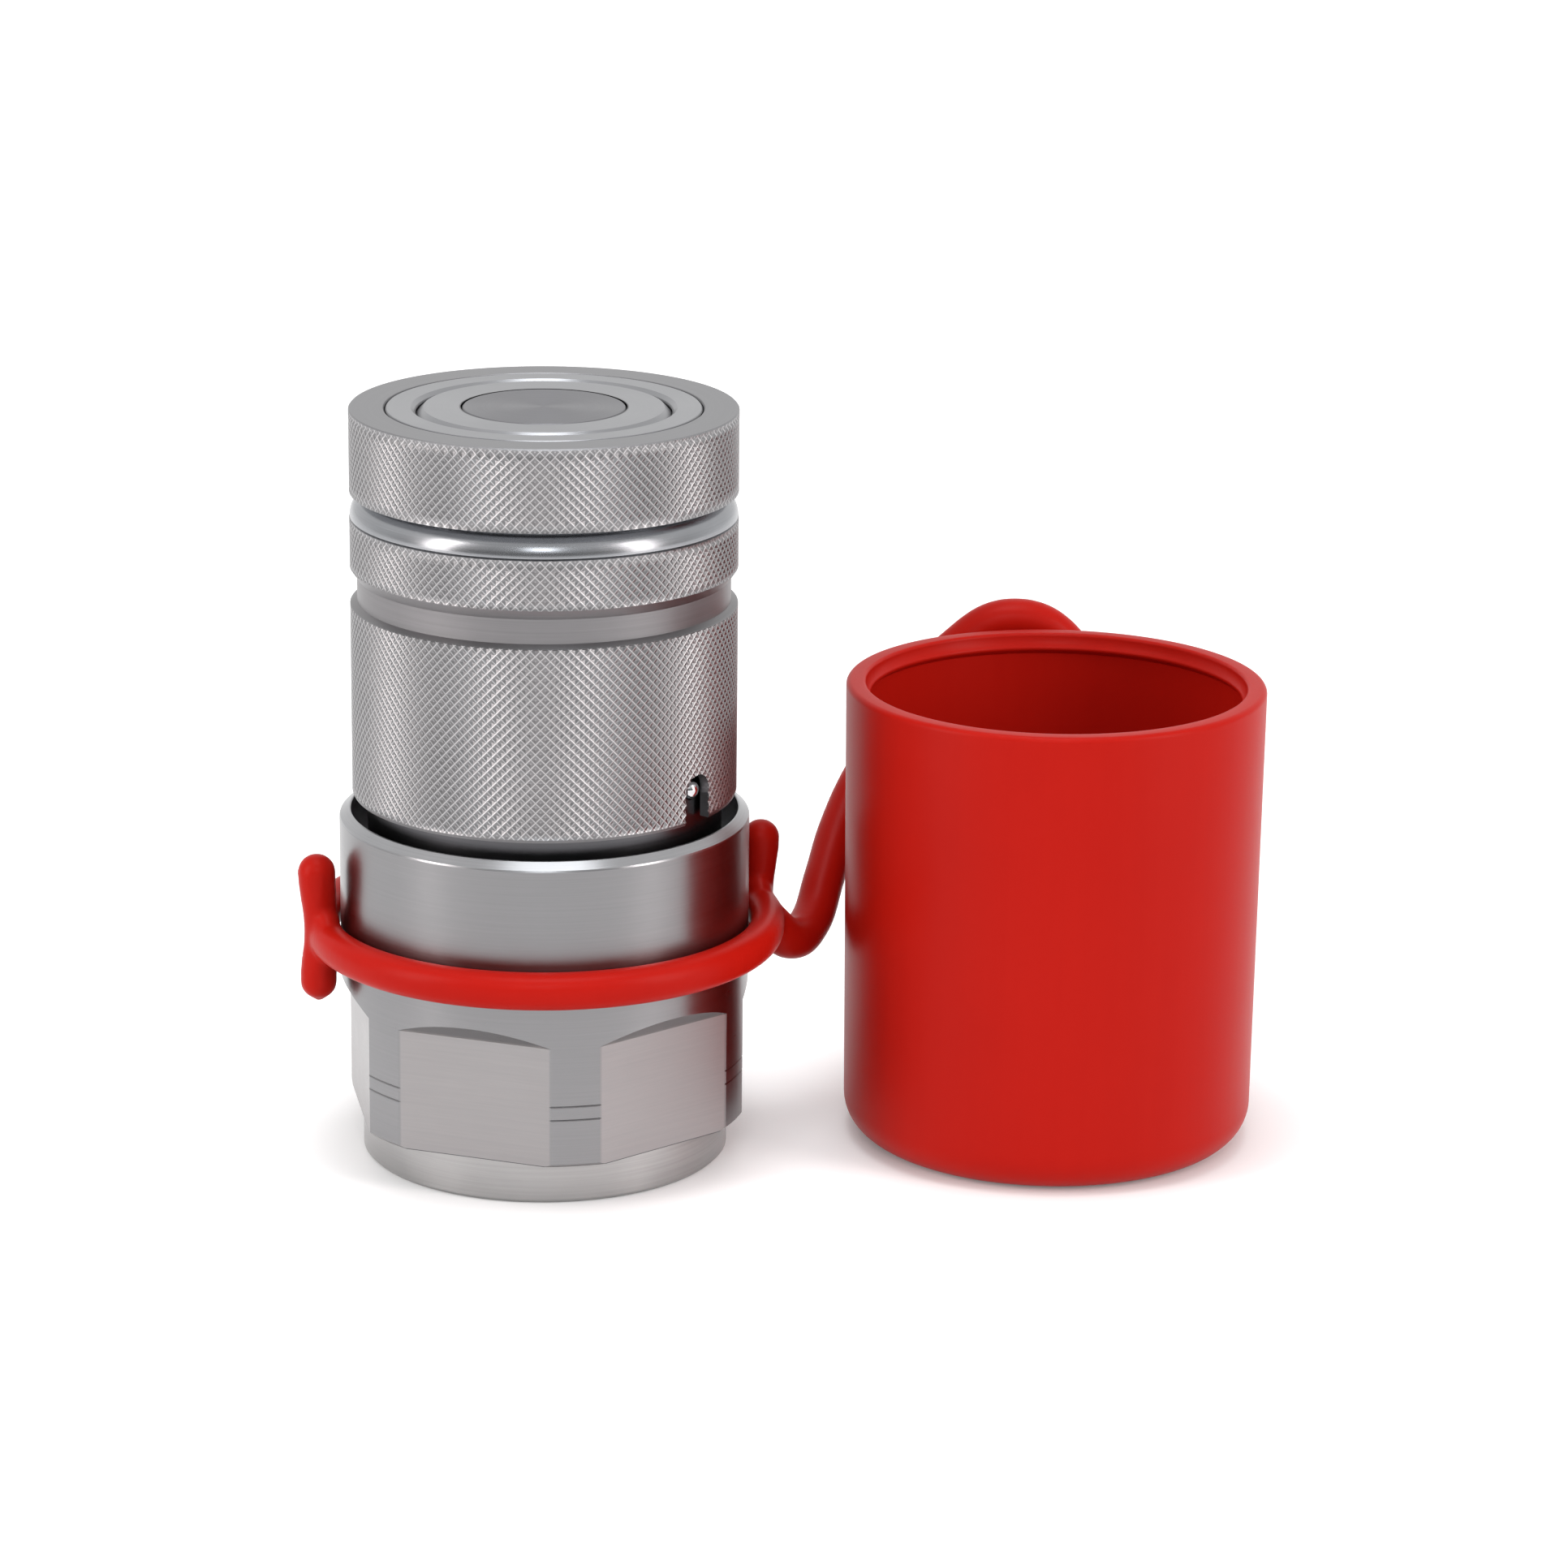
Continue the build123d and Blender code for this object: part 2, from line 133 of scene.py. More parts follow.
class Shader:
    """Builds one procedural material node by node."""

    def __init__(self, name: str) -> None:
        """Start a material that holds a Principled shader.

        Args:
            name: Name of the new material.
        """
        self.material = bpy.data.materials.new(name)
        self.material.use_nodes = True
        self.tree = self.material.node_tree
        self.principled = self.tree.nodes["Principled BSDF"]

    @classmethod
    def on_tree(cls, tree: bpy.types.NodeTree) -> "Shader":
        """Builder that adds its nodes to a tree that exists already.

        Args:
            tree: Tree without a Principled shader, such as the world's.

        Returns:
            The builder.
        """
        shader = cls.__new__(cls)
        shader.tree = tree
        return shader

    def node(self, kind: str, settings: Optional[dict] = None,
             inputs: Optional[dict] = None) -> bpy.types.Node:
        """Add a node, set it up and feed its sockets.

        Args:
            kind: Type name of the node.
            settings: Properties set before the sockets.
            inputs: Socket names or numbers with their values or links.

        Returns:
            The new node.
        """
        made = self.tree.nodes.new(kind)
        for key, value in (settings or {}).items():
            setattr(made, key, value)
        for key, value in (inputs or {}).items():
            self.feed(made.inputs[key], value)
        return made

    def feed(self, socket: bpy.types.NodeSocket, value: object) -> None:
        """Link or set one input socket.

        Args:
            socket: The input.
            value: Signal or socket to link, or a constant.
        """
        if isinstance(value, Signal):
            self.tree.links.new(value.socket, socket)
        elif isinstance(value, bpy.types.NodeSocket):
            self.tree.links.new(value, socket)
        else:
            socket.default_value = value

    def math(self, operation: str, *values: Value) -> Signal:
        """Result of a Math node of some operation."""
        made = self.node("ShaderNodeMath", {"operation": operation}, dict(enumerate(values)))
        return Signal(self, made.outputs[0])

    def place(self, space: str = "Object") -> tuple[Signal, Signal, Signal]:
        """Coordinates as three signals; object coordinates are in metres.

        Args:
            space: Output of the coordinate node.

        Returns:
            X, Y and Z.
        """
        source = self.node("ShaderNodeTexCoord")
        split = self.node("ShaderNodeSeparateXYZ", inputs={0: source.outputs[space]})
        return tuple(Signal(self, split.outputs[axis]) for axis in range(3))

    def vector(self, x: Value, y: Value, z: Value) -> bpy.types.NodeSocket:
        """Vector socket of three values."""
        return self.node("ShaderNodeCombineXYZ", inputs={0: x, 1: y, 2: z}).outputs[0]

    def distance(self, x: Value, y: Value) -> Signal:
        """Distance of a place from the Z axis."""
        return Signal(self, self.node("ShaderNodeVectorMath", {"operation": "LENGTH"}, {
            0: self.vector(x, y, 0.0)}).outputs["Value"])

    def noise(self, vector: bpy.types.NodeSocket, scale: float, detail: float = 2.0,
              rough: float = 0.5) -> Signal:
        """Noise between 0 and 1 at a vector; detail counts its octaves."""
        return Signal(self, self.node("ShaderNodeTexNoise", inputs={
            "Vector": vector, "Scale": scale, "Detail": detail, "Roughness": rough}).outputs[0])

    def step(self, value: Signal, edge: float, soft: float) -> Signal:
        """Mask that rises from 0 to 1 at an edge, over a soft width."""
        return Signal(self, self.node("ShaderNodeMapRange", inputs={
            "Value": value, "From Min": edge - soft / 2, "From Max": edge + soft / 2}).outputs[0])

    def band(self, value: Signal, low: float, high: float, soft: float) -> Signal:
        """Mask that is 1 between two values, with soft edges."""
        return self.step(value, low, soft) - self.step(value, high, soft)

    def mix(self, factor: Signal, under: Color, over: Color) -> bpy.types.NodeSocket:
        """Mix two colours.

        Args:
            factor: Share of the second colour.
            under: First colour, as red, green and blue or as a socket.
            over: Second colour.

        Returns:
            Socket of the mixed colour.
        """
        under, over = (color if isinstance(color, bpy.types.NodeSocket) else (*color, 1.0)
                       for color in (under, over))
        made = self.node("ShaderNodeMix", {"data_type": "RGBA"}, {
            "Factor": factor, 6: under, 7: over})
        return made.outputs[2]

    def seen(self) -> Signal:
        """Tell the camera's rays and mirrored or refracted ones from light that only fills.

        Returns:
            1 for a ray whose end is seen, otherwise 0.
        """
        rays = self.node("ShaderNodeLightPath")
        seen = self.math("MAXIMUM", Signal(self, rays.outputs["Is Camera Ray"]),
                         Signal(self, rays.outputs["Is Glossy Ray"]))
        return self.math("MAXIMUM", seen, Signal(self, rays.outputs["Is Transmission Ray"]))

    def bump(self, height: Signal, depth: float) -> None:
        """Send a height between 0 and 1, of some depth in metres, to the shader's normal."""
        made = self.node("ShaderNodeBump", inputs={"Distance": depth, "Height": height})
        self.feed(self.principled.inputs["Normal"], made.outputs[0])

    def surface(self, **inputs: object) -> None:
        """Feed the main shader; underscores in a name stand for spaces."""
        for key, value in inputs.items():
            self.feed(self.principled.inputs[key.replace("_", " ")], value)


class Bend(NamedTuple):
    """A second body and two places that a piece is meant to stretch between; such a piece is only
    baked where it stands.
    """

    body: Body
    start: Place
    end: Place


class Zone(NamedTuple):
    """Band of heights where a turned surface has another tone; most bands here are painted light
    or shade.
    """

    low: float
    high: float
    color: Tone


@dataclass(frozen=True)
class Knurl:
    """Lattice of crossing ridges that the sleeve's mesh and its finish share."""

    columns: int = 126
    rise: float = 0.70 * MM
    depth: float = 0.235 * MM
    origin: float = 109.0 * MM
    bands: tuple[Pair, ...] = (
        (109.2 * MM, 97.6 * MM), (93.75 * MM, 86.75 * MM), (81.25 * MM, 53.95 * MM))
    # Width, softness and share of the painted highlights along the ridges and in the cells.
    line: float = 0.065
    line_soft: float = 0.09
    line_share: float = 0.8
    cell: float = 0.40
    cell_soft: float = 0.12
    cell_share: float = 0.45
    row_margin: float = 0.3
    foot: float = 27.2 * MM
    # Tone of the painted highlights on the knurl.
    glint_tone: Tone = (0.58, 0.575, 0.58)

    def rows(self, high: float, low: float) -> list[float]:
        """Heights of the lattice rows inside one band, with its two edges.

        Args:
            high: Upper edge of the band.
            low: Lower edge of the band.

        Returns:
            Heights from the upper edge down.
        """
        first = math.ceil((self.origin - high) / self.rise + self.row_margin)
        last = math.floor((self.origin - low) / self.rise - self.row_margin)
        inside = [self.origin - row * self.rise for row in range(first, last + 1)]
        return [high, *inside, low]

    def is_pit(self, place: Vector) -> bool:
        """Whether a vertex on the sleeve's outside lies in the middle of a cell.

        Args:
            place: Place of the vertex.

        Returns:
            True in the middle of a cell.
        """
        if not any(low + 2 * TOUCH < place.z < high - 2 * TOUCH for high, low in self.bands):
            return False
        row = round((self.origin - place.z) / self.rise)
        column = round(math.atan2(place.y, place.x) / math.tau * 2 * self.columns)
        return (row + column) % 2 == 1

    def glint_mask(self, shader: Shader, x: Signal, y: Signal, z: Signal) -> Signal:
        """Mask of painted highlights: thin bright lines along the ridges and a small bright spot
        on the floor of each cell.

        Args:
            shader: Shader that gets the nodes.
            x: X coordinate.
            y: Y coordinate.
            z: Z coordinate.

        Returns:
            The mask.
        """
        column = shader.math("ARCTAN2", y, x) * (2 * self.columns / math.tau)
        row = (self.origin - z) * (1 / self.rise)
        one = shader.math("PINGPONG", (column + row) * 0.5, 0.5)
        two = shader.math("PINGPONG", (column - row) * 0.5, 0.5)
        near = shader.math("MINIMUM", one, two)
        ridge = 1.0 - shader.step(near, self.line, self.line_soft)
        floor = shader.step(near, self.cell, self.cell_soft)
        inside = sum((shader.band(z, low, high, 0.2 * MM) for high, low in self.bands), start=0.0)
        return (ridge * self.line_share + floor * self.cell_share) * inside * shader.step(
            shader.distance(x, y), self.foot, 0.1 * MM)


@dataclass(frozen=True)
class Steel:
    """Plated steel with the fine rings that a lathe leaves round the Z axis."""

    name: str
    dark: Tone
    light: Tone
    roughness: float
    ring_pitch: float = 0.32 * MM
    ring_depth: float = 0.004 * MM
    anisotropy: float = 0.55
    polished: Optional[Pair] = None
    polished_roughness: float = 0.14
    # Painted shading: a flat tone inside the bore, from this height up and within this radius, set
    # in place of the light and shade there.
    bore_shade: Optional[Pair] = None
    # Painted shade: thin dark lines at these radii and heights, where shade falls in the gaps
    # between parts and under steps.
    shade_line_radii: tuple[float, ...] = ()
    shade_line_heights: tuple[float, ...] = ()
    shade_line_width: float = 0.22 * MM
    shade_line_color: Tone = (0.045, 0.045, 0.05)
    shade_line_share: float = 0.85
    # Tone of the painted bore shading.
    bore_shade_color: Tone = (0.30, 0.30, 0.31)
    flat_color: Tone = (0.335, 0.318, 0.318)
    flat_rough: float = 0.06
    streak_share: float = 0.45
    streak_scale: Place = (60.0, 60.0, 2300.0)
    zone_spread: float = 0.28
    ring_drift: float = 0.012
    ring_share: float = 0.62
    ring_rough: float = 0.10
    cloud_scale: float = 95.0
    cloud_rough: float = 0.12
    edge: float = 0.1 * MM
    knurl: Optional[Knurl] = None
    zones: tuple[Zone, ...] = ()
    flats: Optional[Place] = None

    def make(self) -> bpy.types.Material:
        """Build the material.

        Returns:
            The finished material.
        """
        shader = Shader(self.name)
        x, y, z = shader.place()
        radius = shader.distance(x, y)
        fine = 1.0 / self.ring_pitch
        drift = fine * self.ring_drift
        rings = shader.noise(
            shader.vector(radius * fine + x * drift, z * fine, y * drift), 1.0, 3.0, 0.6)
        cloud = shader.noise(shader.vector(x, y, z), self.cloud_scale, 3.0, 0.6)
        tone = rings * self.ring_share + cloud * (1.0 - self.ring_share)
        rough = (self.roughness - (self.cloud_rough + self.ring_rough) / 2
                 + cloud * self.cloud_rough + rings * self.ring_rough)
        depth = rings
        if self.polished:
            bright = shader.band(z, *self.polished, 3 * self.edge)
            rough = rough + bright * (self.polished_roughness - self.roughness)
            depth = rings * (1.0 - bright * 0.7)
        color = shader.mix(tone, self.dark, self.light)
        # Painted shading inside the bore.
        if self.bore_shade:
            low, reach = self.bore_shade
            inside = (1.0 - shader.step(radius, reach, self.edge)) * shader.step(z, low, MM)
            color = shader.mix(inside, color, self.bore_shade_color)
        # Zones lay another tone over bands of heights; most of them are painted light or shade.
        for zone in self.zones:
            low, high = ([part * (1.0 + spread) for part in zone.color]
                         for spread in (-self.zone_spread, self.zone_spread))
            color = shader.mix(shader.band(z, zone.low, zone.high, 2 * self.edge), color,
                               shader.mix(tone, low, high))
        if self.flats:
            low, high, reach = self.flats
            flat = shader.band(z, low, high, self.edge) * (1.0 - shader.step(
                radius, reach, 1.2 * self.edge))
            along = [part * scale for part, scale in zip((x, y, z), self.streak_scale)]
            streak = shader.noise(shader.vector(*along), 1.0, 2.0, 0.7) * self.streak_share
            color = shader.mix(flat * (1.0 - self.streak_share + streak), color, self.flat_color)
            rough = rough + flat * self.flat_rough
        if self.knurl:
            # Painted highlights on the knurl's ridges and cell floors.
            color = shader.mix(self.knurl.glint_mask(shader, x, y, z), color, self.knurl.glint_tone)
        # Painted shade lines in the gaps between parts and under steps.
        half = self.shade_line_width / 2
        for source, places in ((radius, self.shade_line_radii), (z, self.shade_line_heights)):
            for place in places:
                shade_line = shader.band(source, place - half, place + half, self.edge)
                color = shader.mix(shade_line * self.shade_line_share, color, self.shade_line_color)
        shader.surface(Base_Color=color, Metallic=1.0, Roughness=rough,
                       Anisotropic=self.anisotropy, Anisotropic_Rotation=0.25)
        shader.bump(depth, self.ring_depth)
        return shader.material


@dataclass(frozen=True)
class BallSteel:
    """Polished bearing steel with faint clouding."""

    name: str = "polished_ball_steel"
    dark: Tone = (0.55, 0.55, 0.56)
    light: Tone = (0.68, 0.68, 0.70)
    roughness: float = 0.08
    rough_spread: float = 0.06
    cloud_scale: float = 900.0

    def make(self) -> bpy.types.Material:
        """Build the material.

        Returns:
            The finished material.
        """
        shader = Shader(self.name)
        cloud = shader.noise(shader.vector(*shader.place()), self.cloud_scale, 3.0)
        shader.surface(Base_Color=shader.mix(cloud, self.dark, self.light), Metallic=1.0,
                       Roughness=self.roughness + cloud * self.rough_spread)
        return shader.material


@dataclass(frozen=True)
class Moulded:
    """Moulded soft or hard plastic with a fine skin and faint clouding."""

    name: str
    dark: Tone
    light: Tone
    roughness: float
    grain: float = 0.35 * MM
    depth: float = 0.006 * MM
    gloss: float = 0.5
    cloud_scale: float = 55.0
    flow_scale: float = 190.0
    drawn_scale: float = 420.0
    drawn_share: float = 0.4
    drawn_stretch: float = 0.03
    rough_spread: float = 0.06

    def make(self) -> bpy.types.Material:
        """Build the material.

        Returns:
            The finished material.
        """
        shader = Shader(self.name)
        x, y, z = shader.place()
        place = shader.vector(x, y, z)
        cloud = shader.noise(place, self.cloud_scale, 3.0, 0.55)
        skin = shader.noise(place, 1.0 / self.grain, 2.0, 0.6)
        flow = shader.noise(place, self.flow_scale, 1.0)
        drawn = shader.noise(shader.vector(x, y, z * self.drawn_stretch), self.drawn_scale, 2.0,
                             0.6)
        tone = cloud * (1.0 - self.drawn_share) + drawn * self.drawn_share
        shader.surface(Base_Color=shader.mix(tone, self.dark, self.light), Metallic=0.0,
                       Specular_IOR_Level=self.gloss,
                       Roughness=self.roughness + (cloud + skin - 1.0) * self.rough_spread)
        shader.bump(skin * 0.6 + flow * 0.4, self.depth)
        return shader.material


@dataclass(frozen=True)
class Finishes:
    """Every finish of the coupler, one for each material slot."""

    plated: Steel = Steel("plated_steel", (0.210, 0.208, 0.214), (0.280, 0.277, 0.282), 0.31,
                          ring_depth=0.0020 * MM,
                          # Painted shading inside the adapter's bore.
                          # Painted shadow line under the collar's step down to the spigot.
                          bore_shade=(44.0 * MM, 27.8 * MM), shade_line_heights=(6.38 * MM,),
                          flats=(6.5 * MM, 24.4 * MM, 29.28 * MM),
                          # Painted reflection: the spigot is made lighter, in place of the bright
                          # reflection that it lacks.
                          zones=(Zone(-1.0 * MM, 6.3 * MM, (0.375, 0.368, 0.366)),
                                 # Painted highlight on the collar's top bevel.
                                 Zone(49.9 * MM, 51.2 * MM, (0.36, 0.36, 0.37))))
    knurled: Steel = Steel(
        "knurled_steel", (0.190, 0.187, 0.192), (0.256, 0.252, 0.257), 0.41, anisotropy=0.0,
        # Painted shade line in the gap at the inner edge of the sleeve's face.
        polished=(93.85 * MM, 97.6 * MM), polished_roughness=0.25, shade_line_radii=(22.5 * MM,),
        knurl=Knurl(),
        # Painted reflection: the polished shoulder gets a bluish tone for the bluish surroundings
        # that it mirrors.
        zones=(Zone(93.85 * MM, 97.6 * MM, (0.30, 0.307, 0.322)),
               Zone(81.4 * MM, 86.7 * MM, (0.215, 0.208, 0.213)),
               # Painted shading of the sleeve's top face and front edge, set against the top
               # lamp's highlight there.
               Zone(109.12 * MM, 111.0 * MM, (0.262, 0.260, 0.268))))
    turned: Steel = Steel("turned_steel", (0.270, 0.272, 0.282), (0.330, 0.332, 0.345), 0.32,
                          # Painted shade lines in the gaps between the rings of the face.
                          anisotropy=0.25, shade_line_radii=(22.3 * MM, 18.1 * MM, 11.8 * MM),
                          # Painted shade: the socket body between 44 and 60 mm, seen in the gap
                          # below the sleeve, is darkened where shade falls.
                          zones=(Zone(44.0 * MM, 60.0 * MM, (0.105, 0.103, 0.11)),))
    stem: Steel = Steel("ground_steel", (0.180, 0.178, 0.189), (0.205, 0.203, 0.215), 0.42,
                        # Painted shade line in the gap round the stem's face.
                        ring_depth=0.001 * MM, shade_line_radii=(11.55 * MM,))
    spring: Steel = Steel("spring_steel", (0.16, 0.16, 0.165), (0.26, 0.26, 0.265), 0.34,
                          anisotropy=0.0)
    ball: BallSteel = BallSteel()
    seal: Moulded = Moulded("seal_rubber", (0.012, 0.012, 0.012), (0.025, 0.025, 0.026), 0.5)
    backup: Moulded = Moulded("backup_plastic", (0.66, 0.64, 0.58), (0.74, 0.72, 0.66), 0.4)
    cap: Moulded = Moulded("red_vinyl", (0.455, 0.0074, 0.0035), (0.515, 0.0109, 0.0051), 0.38,
                           gloss=0.09)

    def by_slot(self) -> dict[Slot, bpy.types.Material]:
        """Build the material of each slot; each field has its slot's name."""
        return {slot: vars(self)[slot.name.lower()].make() for slot in Slot}


def deselect_all() -> None:
    """Leave nothing selected, so that operators act on the new piece alone."""
    if bpy.context.object and bpy.context.object.mode != "OBJECT":
        bpy.ops.object.mode_set(mode="OBJECT")
    bpy.ops.object.select_all(action="DESELECT")


def pick(obj: bpy.types.Object) -> None:
    """Select one object alone and make it active.

    Args:
        obj: The object.
    """
    deselect_all()
    obj.select_set(True)
    bpy.context.view_layer.objects.active = obj


def name_new(name: str) -> bpy.types.Object:
    """Name the object that an operator just added, and apply its place to its mesh.

    Args:
        name: Name of the object and its mesh.

    Returns:
        The object.
    """
    obj = bpy.context.object
    obj.name = name
    obj.data.name = name
    bpy.ops.object.transform_apply(location=True, rotation=True, scale=True)
    return obj


def select_where(obj: bpy.types.Object, test: Callable[[Vector], bool], mode: str) -> None:
    """Select vertices or faces of the edited mesh by the place of their middle.

    Args:
        obj: Object in edit mode.
        test: Says of a place whether what lies there is selected.
        mode: VERT or FACE.
    """
    bpy.ops.mesh.select_mode(type=mode)
    bpy.ops.mesh.select_all(action="DESELECT")
    mesh = bmesh.from_edit_mesh(obj.data)
    if mode == "VERT":
        for vertex in mesh.verts:
            vertex.select_set(test(vertex.co))
    else:
        for face in mesh.faces:
            face.select_set(test(face.calc_center_median()))
    bmesh.update_edit_mesh(obj.data)


def apply_modifier(obj: bpy.types.Object, kind: str, **settings: object) -> None:
    """Add a modifier to an object, set it up and apply it.

    Args:
        obj: Object that is changed.
        kind: Type of the modifier.
        settings: Its properties.
    """
    pick(obj)
    modifier = obj.modifiers.new(kind.lower(), kind)
    for key, value in settings.items():
        setattr(modifier, key, value)
    bpy.ops.object.modifier_apply(modifier=modifier.name)


def cut(obj: bpy.types.Object, tools: Iterable[bpy.types.Object]) -> None:
    """Cut tools out of an object and remove them.

    Args:
        obj: Object that is cut.
        tools: Closed pieces that are taken away from it.
    """
    for tool in tools:
        apply_modifier(obj, "BOOLEAN", operation="DIFFERENCE", object=tool, solver="EXACT")
        bpy.data.objects.remove(tool)


def join(parts: Sequence[bpy.types.Object]) -> bpy.types.Object:
    """Join pieces into the first of them.

    Args:
        parts: The pieces.

    Returns:
        The first piece, which holds them all.
    """
    pick(parts[0])
    for part in parts[1:]:
        part.select_set(True)
    bpy.ops.object.join()
    return parts[0]


def smooth(obj: bpy.types.Object, angle: float) -> None:
    """Shade an object smooth where its faces meet below an angle in degrees."""
    pick(obj)
    bpy.ops.object.shade_smooth_by_angle(angle=math.radians(angle))


def wind(obj: bpy.types.Object, rise: float, turns: int, steps: int) -> None:
    """Turn and raise a closed section round Z, and fill its two ends.

    Args:
        obj: Section in the XZ plane.
        rise: Rise of one turn.
        turns: Number of turns.
        steps: Steps of one turn.
    """
    sides = len(obj.data.vertices)
    apply_modifier(obj, "SCREW", axis="Z", angle=math.tau, steps=steps, render_steps=steps,
                   screw_offset=rise, iterations=turns, use_merge_vertices=True,
                   merge_threshold=1e-6)
    bpy.ops.object.mode_set(mode="EDIT")
    bpy.ops.mesh.select_all(action="SELECT")
    bpy.ops.mesh.fill_holes(sides=sides)
    bpy.ops.mesh.normals_make_consistent(inside=False)
    bpy.ops.object.mode_set(mode="OBJECT")


def turn(name: str, outline: Sequence[Point], steps: int) -> bpy.types.Object:
    """Model a turned piece: a chain of edges is drawn, closed and spun round Z.

    Args:
        name: Name of the piece.
        outline: Closed outline as (radius, height) corners.
        steps: Number of steps round the axis.

    Returns:
        The new piece.
    """
    deselect_all()
    start = outline[0]
    bpy.ops.mesh.primitive_plane_add(size=MM, location=(start[0], 0, start[1]))
    obj = name_new(name)
    bpy.ops.object.mode_set(mode="EDIT")
    bpy.ops.mesh.select_mode(type="VERT")
    bpy.ops.mesh.select_all(action="SELECT")
    bpy.ops.mesh.merge(type="CENTER")
    for here, there in zip(outline, outline[1:]):
        step = (there[0] - here[0], 0, there[1] - here[1])
        bpy.ops.mesh.extrude_region_move(TRANSFORM_OT_translate={"value": step})
    ends = (Vector((start[0], 0, start[1])), Vector((outline[-1][0], 0, outline[-1][1])))
    select_where(obj, lambda place: min((place - end).length for end in ends) < TOUCH, "VERT")
    bpy.ops.mesh.edge_face_add()
    bpy.ops.mesh.select_all(action="SELECT")
    bpy.ops.mesh.spin(steps=steps, angle=math.tau, center=(0, 0, 0), axis=(0, 0, 1))
    bpy.ops.mesh.select_all(action="SELECT")
    bpy.ops.mesh.remove_doubles(threshold=TOUCH)
    bpy.ops.mesh.normals_make_consistent(inside=False)
    bpy.ops.object.mode_set(mode="OBJECT")
    return obj


def arc(centre: Point, radius: float, first: float, last: float, count: int) -> list[Point]:
    """Points of an arc, its ends included, between two angles in degrees.

    Args:
        centre: Centre of the arc.
        radius: Its radius.
        first: First angle.
        last: Last angle.
        count: Number of steps.

    Returns:
        The points in order.
    """
    angles = [math.radians(first + (last - first) * i / count) for i in range(count + 1)]
    return [(centre[0] + radius * math.cos(a), centre[1] + radius * math.sin(a))
            for a in angles]


def dress(obj: bpy.types.Object, body: Body, material: bpy.types.Material,
          nodes: Sequence[str] = (), bend: Optional[Bend] = None) -> None:
    """Give a new piece its finish, its slot and its body, or bake it where it stands if it has a
    bend, and hide the nodes that it stands for.

    Args:
        obj: Finished piece.
        body: Body that it rides on.
        material: The finish.
        nodes: Nodes of the frame that it replaces.
        bend: Second body that it would stretch to, if it has one; the piece is then baked where it
            stands and not stretched.
    """
    obj.data.materials.clear()
    obj.data.materials.append(material)
    if bend:
        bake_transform(obj)
    else:
        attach(obj, body.value)
    if nodes:
        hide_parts(*nodes)
    triangles = sum(len(face.vertices) - 2 for face in obj.data.polygons)
    log.info("%s: %d triangles", obj.name, triangles)


